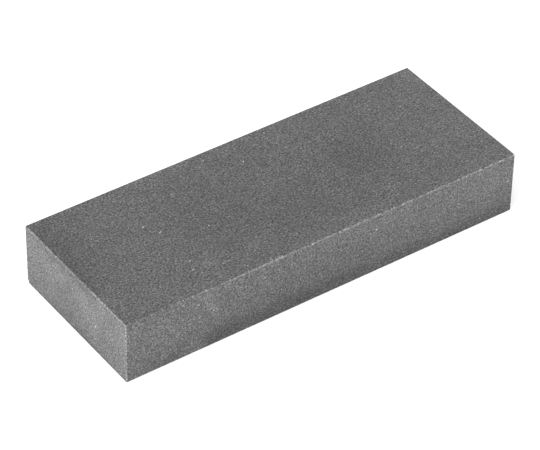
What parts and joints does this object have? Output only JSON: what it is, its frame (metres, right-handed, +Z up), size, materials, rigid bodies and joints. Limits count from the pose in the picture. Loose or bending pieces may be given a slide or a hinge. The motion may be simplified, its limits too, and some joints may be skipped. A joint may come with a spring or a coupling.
{
  "type": "sharpening whetstone",
  "caption": "Rectangular bar of fired dark grey abrasive with eased arrises, laid flat on a bench to hone carving and whittling blades by hand.",
  "frame": {"origin": "centre of the face that the stone lies on", "axes": "+X along the length, +Y across the width, +Z up out of the honing face"},
  "size_m": [0.13, 0.05, 0.02],
  "materials": {
    "fired_grit": "matte"
  },
  "bodies": {
    "root": {"abrasive_bar": "fired_grit"}
  },
  "joints": []
}
